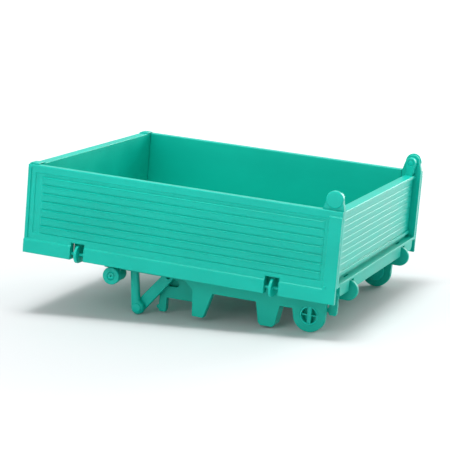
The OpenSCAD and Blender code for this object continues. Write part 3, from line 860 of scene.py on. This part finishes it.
@dataclass
class RearPost:
    """Corner post at the rear with a slanted shoulder, a raised disc and the eye of the tailgate's pin."""

    side: Side
    inset: float = 10.4
    y: float = 2.3
    thickness: float = 2.8
    low: float = 7.2
    disc: float = 4.2
    disc_proud: float = 0.7
    eye: float = 3.8
    slant: float = 2.2
    drop: float = 1.6
    corner: float = 0.25
    foot_x: tuple[float, float] = (152.05, 159.95)
    foot_y: tuple[float, float] = (5.0, 8.0)
    foot_top: float = 8.7
    pin_y: tuple[float, float] = (3.8, 9.5)

    def blade(self) -> Shell:
        """The plate: straight sides, slanted shoulder and a round eye at the top.

        Returns:
            A closed shell.
        """
        front = LENGTH - self.inset
        shoulder = GATE_PIVOT[1] + self.disc - self.drop
        slanted = front + self.slant
        outline = polygon([(front, self.low), (LENGTH, self.low), (LENGTH, WALL_TOP)],
                          arc(GATE_PIVOT, self.eye, 2, 132, 20),
                          [(slanted + self.corner, shoulder), (slanted - 0.05, shoulder - self.corner),
                           (front, WALL_TOP)])
        return plate(Plane.SIDE, outline, self.y, self.thickness, 0.3)

    def build(self, maker: Maker) -> None:
        """Makes the post with its disc and foot, and the tailgate's pin.

        Args:
            maker: turns the shells into finished pieces.
        """
        s, r, y0 = self.side.value, self.disc, self.y - self.disc_proud
        disc = lathe(Plane.SIDE, GATE_PIVOT, [
            (0, y0), (r - 0.9, y0 + 0.02), (r - 0.5, y0 + 0.1), (r - 0.15, y0 + 0.35), (r, y0 + 0.8),
            (r, y0 + 1.8), (0, y0 + 1.8)], 56)
        (x0, x1), (f0, f1) = self.foot_x, self.foot_y
        foot = plate(Plane.CROSS, rectangle(f0, self.low, f1, self.foot_top), x0, x1 - x0, 0.2)
        maker.piece(f"rear_post_{s}_moulding", [self.blade(), disc, foot], self.side, BODY_FINISH, "bed",
                    f"rear_post_{s}")
        pin = lathe(Plane.SIDE, GATE_PIVOT, rod(GATE_PIN, *self.pin_y, 0.15), 28)
        maker.piece(f"tailgate_pin_{s}_moulding", [pin], self.side, PIN_FINISH, "bed", f"tailgate_pin_{s}")


@dataclass
class Tailgate:
    """Top-hung tailgate: ribbed outer face, bottom strip, top lip and two ears."""

    y: float = 5.4
    x: tuple[float, float] = (152.3, 156.3)
    z: tuple[float, float] = (10.2, 41.7)
    strip: tuple[float, float] = (2.0, 0.8)
    lip: tuple[float, float] = (1.5, 1.2)
    ribs: int = 9
    bulge: float = 0.18
    rib_gap: float = 0.2
    rib_room: tuple[float, float] = (0.4, 0.3)
    rib_side: float = 1.2
    rib_end: float = 0.5
    ear_r: float = 2.6
    ear_x: tuple[float, float] = (153.1, 156.2)
    ear_t: float = 4.2
    ear_lap: float = 1.5
    edge: float = 0.35
    soft: float = 0.3

    def board(self) -> Shell:
        """The board: ribs between a bottom strip and a top lip on the outer face, inner face plain.

        Returns:
            A closed shell.
        """
        (low, high), (x0, x1), far_y = self.z, self.x, BED_WIDTH - self.y
        strip_top, lip_low = low + self.strip[0], high - self.lip[0]
        rib_low, rib_high = strip_top + self.rib_room[0], lip_low - self.rib_room[1]
        ends = [self.y + self.rib_side + k for k in (0, 0.05, 0.2, self.rib_end)]
        y = grid_lines(self.y, far_y, 6.0, (), self.soft, self.edge, ends + [BED_WIDTH - v for v in ends])
        rows = rib_rows(rib_low, rib_high, self.ribs, self.rib_gap)
        z = grid_lines(low, high, 3.0, (strip_top, lip_low), self.soft, self.edge, rows)
        gy, gz = np.meshgrid(y, z, indexing="ij")
        drop = fall(np.minimum.reduce([gy - self.y, far_y - gy, gz - low, high - gz]), self.edge)
        reach = np.clip((np.minimum(gy, BED_WIDTH - gy) - self.y - self.rib_side) / self.rib_end, 0, 1)
        ribs = rib_rise(gz, rib_low, rib_high, self.ribs, self.bulge, self.rib_gap, 0.0)
        strip = self.strip[1] * (1 - ramp(gz, strip_top, self.soft))
        lip = self.lip[1] * ramp(gz, lip_low, self.soft)
        outer = x1 + ribs * np.sqrt(1 - (1 - reach) ** 2) + strip + lip - drop
        return slab(Plane.CROSS, y, z, x0 + drop, outer, np.ones((len(y) - 1, len(z) - 1), bool))

    def ear(self, near: float) -> Shell:
        """Ear with a round top that turns on the pin.

        Args:
            near: where the near face of the ear lies.

        Returns:
            A closed shell.
        """
        (x0, x1), root = self.ear_x, self.z[1] - self.ear_lap
        outline = polygon([(x0, root), (x1, root)], arc(GATE_PIVOT, self.ear_r, -8, 188, 26))
        hole = arc(GATE_PIVOT, GATE_PIN + RUN_GAP, 0, 345, 24)
        return plate(Plane.SIDE, outline, near, self.ear_t, 0.35, (hole,))

    def build(self, maker: Maker) -> None:
        """Makes the board with both ears."""
        ears = [self.ear(self.y), self.ear(BED_WIDTH - self.y - self.ear_t)]
        maker.piece("tailgate_moulding", [self.board(), *ears], Side.MIDDLE, BODY_FINISH, "tailgate",
                    "tailgate")


# ---- underframe ----


@dataclass
class Beam:
    """Longitudinal beam with its two trapezoid lugs, round rear lug, roller boss and webbed pivot bush."""

    side: Side
    y: float = 14.0
    thickness: float = 2.8
    start: float = 38.0
    front_d: float = 4.0
    rear_d: float = 8.2
    step_run: float = 4.0
    draft: float = 0.6
    lug1_x: float = 85.0
    lug1_w: float = 11.0
    lug1_foot: float = 6.0
    lug1_d: float = 20.8
    lug1_corner: float = 0.5
    lug2_x: float = 117.0
    lug2_w: float = 13.2
    lug2_foot: float = 5.8
    lug2_d: float = 19.2
    lug2_bevel: float = 1.3
    lug_extra: tuple[float, float] = (1.6, 5.6)
    lug_lap: float = 0.4
    pivot: tuple[float, float] = (144.4, -10.4)
    pivot_r: float = 8.0
    heel: tuple[float, float] = (0.6, 2.0)
    bush_r: float = 4.6
    bush_free: float = 1.5
    bush_end: float = 0.6
    web: tuple[float, float, float] = (1.0, 0.35, 0.6)
    boss_r: float = 3.8
    boss_l: float = 7.0
    boss_half: float = 3.04

    def foot1(self) -> Array:
        """Lower end of the front lug, from its front to its rear side, with rounded corners."""
        x, r, z = self.lug1_x + self.draft, self.lug1_corner, self.lug1_corner - self.lug1_d
        return polygon(arc((x + r, z), r, 190, 270, 4), arc((x + self.lug1_foot - r, z), r, 270, 340, 4),
                       [(self.lug1_x + self.lug1_w - self.draft, -self.rear_d)])

    def foot2(self) -> Array:
        """Lower end of the middle lug, from its front to its rear side, with bevelled corners.

        Returns:
            The corners, in x and z.
        """
        x, bevel, low = self.lug2_x, self.lug2_bevel, -self.lug2_d
        end = x + (self.lug2_w + self.lug2_foot) / 2
        start = end - self.lug2_foot
        return polygon([(x + self.draft, -self.rear_d), (start - bevel, low + bevel), (start, low),
                        (end, low), (end + bevel, low + bevel),
                        (x + self.lug2_w - self.draft, -self.rear_d)])

    def blade(self) -> Shell:
        """The beam's plate, with the feet of both lugs and the round rear lug in one outline.

        Returns:
            A closed shell.
        """
        rear = self.pivot[0] + self.pivot_r
        gap, rise = self.heel
        outline = polygon([(self.start, FLOOR_LOW), (self.start, -self.front_d),
                           (self.lug1_x - self.step_run, -self.front_d), (self.lug1_x, -self.rear_d)],
                          self.foot1(), self.foot2(), [(self.pivot[0] - self.pivot_r - gap, -self.rear_d)],
                          arc(self.pivot, self.pivot_r, 184, 360, 36),
                          [(rear, rise - self.rear_d), (rear, FLOOR_LOW)])
        holes = (arc(self.pivot, self.bush_r - CREASE, 0, 352.5, 48), arc(STAY_TOP, STAY_PIN, 0, 345, 24))
        return plate(Plane.SIDE, outline, self.y, self.thickness, 0.3, holes)

    def lugs(self) -> list[Shell]:
        """The parts of both lugs that stand behind the beam's plate.

        Returns:
            Two closed shells.
        """
        behind = self.y + self.thickness - self.lug_lap
        shapes = []
        for x, w, foot, depth, edge in ((self.lug1_x, self.lug1_w, self.foot1(), self.lug_extra[0], 0.3),
                                        (self.lug2_x, self.lug2_w, self.foot2(), self.lug_extra[1], 0.4)):
            outline = polygon([(x + w, FLOOR_LOW), (x, FLOOR_LOW)], foot)
            shapes.append(plate(Plane.SIDE, outline, behind, depth, edge))
        return shapes

    def boss(self) -> list[Shell]:
        """Round boss of the guide roller and the web that carries it.

        Returns:
            Two closed shells.
        """
        x, z = ROLLER_AT
        profile = rod(self.boss_r, self.y - CREASE, self.y + self.boss_l, 0.3)
        round_boss = lathe(Plane.SIDE, ROLLER_AT, profile, 48)
        area = rectangle(x - self.boss_half, z, x + self.boss_half, FLOOR_LOW)
        return [round_boss, plate(Plane.SIDE, area, self.y + CREASE, self.boss_l - 0.1, 0.2)]

    def bush(self) -> list[Shell]:
        """Blind bush with a cross web set a little back from its mouth.

        Returns:
            Three closed shells.
        """
        r, y0, y1 = self.bush_r, self.y, self.y + self.thickness + self.bush_free
        deep = y1 - self.bush_end
        tube = lathe(Plane.SIDE, self.pivot, [
            (0, deep), (r - 0.9, deep), (r - 0.8, deep - 0.1), (r - 0.8, y0 + 0.15), (r - 0.65, y0),
            (r - 0.15, y0), (r, y0 + 0.15), (r, y1 - 0.3), (r - 0.1, y1 - 0.1), (r - 0.3, y1), (0, y1)], 48)
        px, pz = self.pivot
        wide, thin, inset = self.web
        reach = r - inset
        post = plate(Plane.SIDE, rectangle(px - wide, pz - reach, px + wide, pz + reach), y0 + 0.5, 3.3, 0.2)
        bar = plate(Plane.SIDE, rectangle(px - reach, pz - thin, px + reach, pz + thin), y0 + 0.9, 2.9, 0.15)
        return [tube, post, bar]

    def build(self, maker: Maker) -> None:
        """Makes the beam and the bush.

        Args:
            maker: turns the shells into finished pieces.
        """
        s = self.side.value
        maker.piece(f"beam_{s}_moulding", [self.blade(), *self.lugs(), *self.boss()], self.side, UNDER_SHADED_FINISH,
                    "bed", f"beam_{s}")
        maker.piece(f"pivot_bush_{s}_moulding", self.bush(), self.side, PIN_FINISH, "bed", f"pivot_bush_{s}")


@dataclass
class GuideRoller:
    """Small roller on a sunk-headed axle at the front end of a beam."""

    side: Side
    radius: float = 4.35
    bore: float = 1.05
    y: float = 10.1
    width: float = 3.6
    axle: float = 1.0
    head: float = 1.8
    axle_l: float = 10.9

    def build(self, maker: Maker) -> None:
        """Makes the roller and its axle, both turned round the same line.

        Args:
            maker: turns the shells into finished pieces.
        """
        s, r, bore, y, end = self.side.value, self.radius, self.bore, self.y, self.y + self.width
        wheel = lathe(Plane.SIDE, ROLLER_AT, [
            (bore, y + 0.6), (1.9, y + 0.55), (1.95, y + 0.3), (2.15, y + 0.08), (2.4, y), (r - 0.55, y),
            (r - 0.25, y + 0.08), (r - 0.07, y + 0.27), (r, y + 0.55), (r, end - 0.5), (r - 0.15, end - 0.15),
            (r - 0.5, end), (bore, end), (bore, y + 0.6)], 56)
        maker.piece(f"guide_roller_{s}_moulding", [wheel], self.side, BODY_FINISH, f"{s}_roller",
                    f"guide_roller_{s}")
        stem, head, tip = self.axle, self.head, y + self.axle_l
        axle = lathe(Plane.SIDE, ROLLER_AT, [
            (0, y + 1.0), (0.4, y + 0.9), (0.5, y + 0.1), (0.6, y), (head - 0.3, y), (head - 0.1, y + 0.1),
            (head, y + 0.3), (head, y + 0.5), (stem, y + 0.5), (stem, tip - 0.2), (stem - 0.2, tip),
            (0, tip)], 40)
        maker.piece(f"roller_axle_{s}_moulding", [axle], self.side, PIN_FINISH, "bed", f"roller_axle_{s}")


@dataclass
class FoldingStay:
    """Two-link stay: half-round upper link, flat lower link, and their headed pins."""

    side: Side
    knee: tuple[float, float] = (54.9, -22.9)
    knee_r: float = 3.4
    upper_y: float = 18.3
    upper_w: float = 4.1
    upper_rim: float = 0.5
    upper_back: float = 1.5
    lower_y: float = 21.5
    lower_w: float = 5.2
    lower_rim: float = 0.3
    lower_length: float = 22.4
    lower_angle: float = 51.0
    thickness: float = 2.9
    hanger_y: float = 14.0

    def upper_link(self) -> Shell:
        """Link from the round top eye down to the round knee, with a half-round back.

        Returns:
            A closed shell.
        """
        x0, z0 = STAY_TOP
        x1, z1 = self.knee
        foot = np.array([x1 - self.knee_r + self.upper_w / 2, z1])
        heading = math.degrees(math.atan2(z1 - z0, foot[0] - x0))
        across = math.radians(heading + 90)
        side = np.array([math.cos(across), math.sin(across)]) * self.upper_w / 2
        outline = polygon(arc(STAY_TOP, self.upper_w / 2 + self.upper_rim, heading + 130, heading + 230, 16),
                          [foot - side + np.array([0, 0.5])], arc(self.knee, self.knee_r, 182, 398, 30),
                          [foot + side + np.array([0.1, 3.6])])
        holes = (arc(STAY_TOP, STAY_PIN + RUN_GAP, 0, 345, 24), arc(self.knee, STAY_PIN, 0, 345, 24))
        return plate(Plane.SIDE, outline, self.upper_y, self.thickness, 0.35, holes, 3, self.upper_back)

    def lower_link(self) -> Shell:
        """Straight link from the knee to its free eye, with round ends.

        Returns:
            A closed shell.
        """
        a, r = self.lower_angle, self.lower_w / 2
        eye = (self.knee[0] + self.lower_length * math.cos(math.radians(a)),
               self.knee[1] + self.lower_length * math.sin(math.radians(a)))
        outline = polygon(arc(self.knee, r + self.lower_rim, a + 97, a + 263, 18),
                          arc(eye, r, a - 90, a + 90, 20))
        holes = (arc(self.knee, STAY_PIN + RUN_GAP, 0, 345, 24), arc(eye, STAY_PIN, 0, 345, 24))
        return plate(Plane.SIDE, outline, self.lower_y, self.thickness, 0.35, holes)

    def knee_pin(self) -> Shell:
        """Pin with a domed head outside and a flat one inside."""
        r, head, y = STAY_PIN, STAY_PIN + 0.6, self.upper_y
        return lathe(Plane.SIDE, self.knee, [
            (0, y - 0.62), (1.6, y - 0.6), (2.1, y - 0.45), (2.35, y - 0.15), (2.4, y + 0.05), (r, y + 0.1),
            (r, y + 6.15), (head, y + 6.2), (head, y + 6.65), (head - 0.2, y + 6.8), (0, y + 6.8)], 40)

    def hanger_pin(self) -> Shell:
        """Pin that hangs the stay on the beam, with a collar before the link and a head behind it."""
        r, head, y, start = STAY_PIN, STAY_PIN + 0.6, self.upper_y, self.hanger_y
        return lathe(Plane.SIDE, STAY_TOP, [
            (0, start), (r, start), (r, start + 2.8), (head, start + 2.9), (head, y - 0.15), (r, y - 0.1),
            (r, y + 2.95), (head, y + 2.97), (head, y + 3.4), (head - 0.2, y + 3.55), (0, y + 3.55)], 32)

    def build(self, maker: Maker) -> None:
        """Makes both links and both pins.

        Args:
            maker: turns the shells into finished pieces.
        """
        s, side = self.side.value, self.side
        upper, lower = f"{s}_stay_upper", f"{s}_stay_lower"
        maker.piece(f"stay_upper_link_{s}_moulding", [self.upper_link()], side, BODY_FINISH, upper,
                    f"stay_upper_link_{s}")
        maker.piece(f"stay_lower_link_{s}_moulding", [self.lower_link()], side, BODY_FINISH, lower,
                    f"stay_lower_link_{s}")
        maker.piece(f"knee_pin_{s}_moulding", [self.knee_pin()], side, PIN_FINISH, upper, f"knee_pin_{s}")
        maker.piece(f"stay_pin_{s}_moulding", [self.hanger_pin()], side, PIN_FINISH, "bed", f"stay_pin_{s}")


@dataclass
class Underframe:
    """Inner rails with their round noses, cross members, hook brackets and the rear hook."""

    rail_x: float = 93.5
    rail_low: float = -3.0
    nose: float = 5.0
    nose_x: float = 158.7
    beam_in: float = 16.8
    bar_t: float = 3.0
    bars: tuple[tuple[str, float, float], ...] = (
        ("front_cross_member", 56.4, 5.8), ("middle_cross_member", 99.0, -3.6),
        ("rear_cross_member", 131.0, -9.0))
    hook_w: float = 4.0
    barb: float = 1.2
    rear_hook_at: tuple[float, float] = (152.6, 18.0)
    rear_hook_z: tuple[float, float] = (-9.6, 5.1)
    rear_hook_t: float = 2.4
    bracket_x: tuple[float, float] = (63.5, 89.5)
    bracket_y: float = 25.6
    bracket_low: float = -17.0
    bracket_foot: float = -24.4
    face_t: float = 2.6
    skin: tuple[float, float] = (2.4, 0.8)
    pocket_x: tuple[float, float] = (68.1, 71.9)
    pocket_z: float = -9.4
    pocket_r: float = 1.6

    def rail(self, maker: Maker, side: Side) -> None:
        """Rail whose half-disc nose reaches out through the sill's slot.

        Args:
            maker: turns the shells into finished pieces.
            side: which half the piece belongs to.
        """
        outline = polygon([(self.rail_x, FLOOR_LOW), (self.rail_x, self.rail_low)],
                          arc((self.nose_x, self.rail_low + self.nose), self.nose, -90, 90, 28),
                          [(FLOOR_END, self.rail_low + 2 * self.nose), (FLOOR_END, FLOOR_LOW)])
        blade = plate(Plane.SIDE, outline, RAIL_Y, RAIL_T, 0.3)
        s = side.value
        maker.piece(f"inner_rail_{s}_moulding", [blade], side, UNDER_SHADED_FINISH, "bed", f"inner_rail_{s}")

    def hook(self, x: float, top: float, foot: float) -> list[tuple[float, float]]:
        """Corners of a barbed snap hook that hangs from top down to foot."""
        w, b = self.hook_w, self.barb
        return [(x, top), (x, foot + 3.6), (x - b, foot + 2.8), (x - b, foot + 2.0), (x, foot + 1.0),
                (x + 0.6, foot), (x + w - 0.6, foot), (x + w, foot + 1.0), (x + w, top)]

    def bracket(self, maker: Maker, side: Side) -> None:
        """Plate with an oval pocket in its outer face and a snap hook at its front end.

        Args:
            maker: turns the shells into finished pieces.
            side: which half the piece belongs to.
        """
        (x0, x1), low, (p0, p1) = self.bracket_x, self.bracket_low, self.pocket_x
        pocket = polygon(arc((p1, self.pocket_z), self.pocket_r, -90, 90, 10),
                         arc((p0, self.pocket_z), self.pocket_r, 90, 270, 10))
        outline = polygon(self.hook(x0, FLOOR_LOW, self.bracket_foot)[:-1],
                          [(x0 + self.hook_w, low), (x1, low), (x1, FLOOR_LOW)])
        face = plate(Plane.SIDE, outline, self.bracket_y, self.face_t, 0.3, (pocket,))
        skin = plate(Plane.SIDE, outline, self.bracket_y + self.skin[0], self.skin[1], 0.3)
        s = side.value
        maker.piece(f"hook_bracket_{s}_moulding", [face, skin], side, UNDER_SHADED_FINISH, "bed",
                    f"hook_bracket_{s}")

    def build(self, maker: Maker) -> None:
        """Makes the rails, brackets, cross members and the rear hook.

        Args:
            maker: turns the shells into finished pieces.
        """
        for side in (Side.LEFT, Side.RIGHT):
            self.rail(maker, side)
            self.bracket(maker, side)
        for name, x, low in self.bars:
            area = rectangle(self.beam_in, low, BED_WIDTH - self.beam_in, FLOOR_LOW)
            maker.piece(f"{name}_moulding", [plate(Plane.CROSS, area, x, self.bar_t, 0.3)], Side.MIDDLE,
                        UNDER_SHADED_FINISH, "bed", name)
        (x, y), (foot, top) = self.rear_hook_at, self.rear_hook_z
        hook = plate(Plane.SIDE, polygon(self.hook(x, top, foot)), y, self.rear_hook_t, 0.3)
        maker.piece("rear_hook_moulding", [hook], Side.LEFT, UNDER_SHADED_FINISH, "bed", "rear_hook")


# ---- studio ----


@dataclass(frozen=True)
class Softbox:
    """Square light at a place in metres, turned to the body's middle."""

    name: str
    place: tuple[float, float, float]
    size: float
    watts: float
    colour: tuple[float, float, float]

    def build(self, aim: Vector) -> None:
        """Makes the light and turns it to aim.

        Args:
            aim: the point in metres that the light is turned to.
        """
        lamp = bpy.data.lights.new(self.name, "AREA")
        lamp.shape = "SQUARE"
        lamp.size = self.size
        lamp.energy = self.watts
        lamp.color = self.colour
        box = bpy.data.objects.new(self.name, lamp)
        box.location = self.place
        box.rotation_euler = (aim - Vector(self.place)).to_track_quat("-Z", "Y").to_euler()
        bpy.context.scene.collection.objects.link(box)


@dataclass(frozen=True)
class Studio:
    """Pale table that the tilted body stands on, soft lights and the camera."""

    tilt: float = 5.03
    drop: float = 31.03
    rings: tuple[float, ...] = (0.0, 0.3, 1.0, 3.0, 12.0)
    spokes: int = 96
    room: float = 0.62
    aim: tuple[float, float, float] = (0, 0, 0.03)
    lights: tuple[Softbox, ...] = (
        Softbox("key_softbox", (0.48, 1.10, 0.42), 0.7, 11.5, (1.0, 0.99, 0.97)),
        Softbox("overhead_softbox", (-0.1, -0.10, 1.05), 0.35, 8.5, (1.0, 1.0, 1.0)),
        Softbox("front_fill", (-0.3, -1.0, 0.45), 0.8, 3.2, (0.97, 0.99, 1.0)))
    lens: float = 141.4
    sensor: float = 36.0
    camera_at: tuple[float, float, float] = (379.56, -757.60, 195.46)
    camera_turn: tuple[float, float, float] = (19.997, 11.645, -4.955)

    def table_finish(self) -> bpy.types.Material:
        """Matt white, faintly clouded, with painted glow: an emission that grows with distance from the
        middle, so the table looks greyer near the body and turns into a white sweep further out.

        Returns:
            The material.
        """
        material = bpy.data.materials.new("white_table_painted_glow")
        material.use_nodes = True
        tree = material.node_tree
        shader = tree.nodes["Principled BSDF"]
        shader.inputs["Roughness"].default_value = 0.6
        # Painted glow, not a lamp: white emission whose strength rises with distance from the table's middle
        shader.inputs["Emission Color"].default_value = (1.0, 1.0, 1.0, 1)
        place = tree.nodes.new("ShaderNodeTexCoord")
        cloud = tree.nodes.new("ShaderNodeTexNoise")
        cloud.inputs["Scale"].default_value = 3.0
        mix = tree.nodes.new("ShaderNodeMix")
        mix.data_type = "RGBA"
        mix.inputs["A"].default_value = (0.66, 0.67, 0.685, 1)
        mix.inputs["B"].default_value = (0.69, 0.70, 0.71, 1)
        away = tree.nodes.new("ShaderNodeVectorMath")
        away.operation = "LENGTH"
        painted_glow_sweep = tree.nodes.new("ShaderNodeMapRange")
        painted_glow_sweep.interpolation_type = "SMOOTHSTEP"
        for key, value in {"From Min": 0.12, "From Max": 1.1, "To Min": 0.0, "To Max": 0.75}.items():
            painted_glow_sweep.inputs[key].default_value = value
        tree.links.new(place.outputs["Object"], cloud.inputs["Vector"])
        tree.links.new(place.outputs["Object"], away.inputs[0])
        tree.links.new(away.outputs["Value"], painted_glow_sweep.inputs["Value"])
        tree.links.new(painted_glow_sweep.outputs["Result"], shader.inputs["Emission Strength"])
        tree.links.new(cloud.outputs["Fac"], mix.inputs["Factor"])
        tree.links.new(mix.outputs["Result"], shader.inputs["Base Color"])
        return material

    def table(self, bench: Bench) -> None:
        """Large round table top, tangent to the stays' knees and the round rear lugs.

        Args:
            bench: where the bench lies in the frame.
        """
        normal = Vector((-math.sin(math.radians(self.tilt)), 0, math.cos(math.radians(self.tilt))))
        around = np.linspace(0, 2 * math.pi, self.spokes, endpoint=False)
        radius = np.array(self.rings)[:, None]
        x, y = radius * np.cos(around), radius * np.sin(around)
        points = np.stack([x, y, np.zeros_like(x)], axis=-1).reshape(-1, 3)
        turn = normal.to_track_quat("Z", "Y").to_matrix()
        middle = np.array([bench.zero[0], 0, bench.zero[2]]) - np.array(normal) * self.drop * MM
        points = points @ np.array(turn).T + middle
        first = np.arange(self.spokes) + self.spokes
        second = np.roll(first, -1)
        hub = np.stack([np.zeros(self.spokes, int), first, second, second], axis=1)
        outer = band(len(radius), self.spokes)[self.spokes:, ::-1]
        mesh = bpy.data.meshes.new("table_top")
        mesh.from_pydata(points.tolist(), [], corner_lists(np.concatenate([hub, outer])))
        mesh.validate()
        mesh.materials.append(self.table_finish())
        table = bpy.data.objects.new("table_top", mesh)
        bpy.context.scene.collection.objects.link(table)

    def light(self) -> None:
        """White room, a large softbox behind the far rear corner, an overhead one and a soft front fill."""
        world = bpy.data.worlds.new("white_room")
        world.use_nodes = True
        sky = world.node_tree.nodes["Background"]
        sky.inputs["Color"].default_value = (1.0, 1.0, 1.0, 1)
        sky.inputs["Strength"].default_value = self.room
        bpy.context.scene.world = world
        for softbox in self.lights:
            softbox.build(Vector(self.aim))

    def camera(self, bench: Bench) -> None:
        """Long lens near the left rear corner, held level with the table while the body stands nose-up.

        Args:
            bench: where the bench lies in the frame.
        """
        azimuth, elevation, roll = (math.radians(v) for v in self.camera_turn)
        forward = Vector((-math.sin(azimuth) * math.cos(elevation), math.cos(azimuth) * math.cos(elevation),
                          -math.sin(elevation)))
        across = forward.cross(Vector((0, 0, 1))).normalized()
        down = forward.cross(across)
        right = across * math.cos(roll) + down * math.sin(roll)
        up = across * math.sin(roll) - down * math.cos(roll)
        lens = bpy.data.cameras.new("long_lens")
        lens.lens = self.lens
        lens.sensor_width = self.sensor
        lens.clip_end = 20.0
        camera = bpy.data.objects.new("long_lens", lens)
        turn = Matrix((right, up, -forward)).transposed().to_4x4()
        camera.matrix_world = Matrix.Translation(Vector(self.camera_at) * MM + Vector(bench.zero)) @ turn
        bpy.context.scene.collection.objects.link(camera)
        bpy.context.scene.camera = camera

    def build(self, bench: Bench) -> None:
        """Sets the table, lights and camera, and a plain colour response.

        Args:
            bench: where the bench lies in the frame.
        """
        self.table(bench)
        self.light()
        self.camera(bench)
        view = bpy.context.scene.view_settings
        view.view_transform = "Standard"
        view.look = "None"


def main() -> None:
    """Builds every sub-assembly in order, then the studio."""
    logging.basicConfig(level=logging.INFO, format="%(message)s")
    bench = Bench.from_frame()
    maker = Maker(bench)
    BedShell().build(maker)
    for side in (Side.LEFT, Side.RIGHT):
        for part in (SideFlap, HingeEars, RearPost, Beam, GuideRoller, FoldingStay):
            part(side).build(maker)
    Tailgate().build(maker)
    Underframe().build(maker)
    Studio().build(bench)
    LOG.info("%d pieces", len(maker.made))


if __name__ == "__main__":
    main()
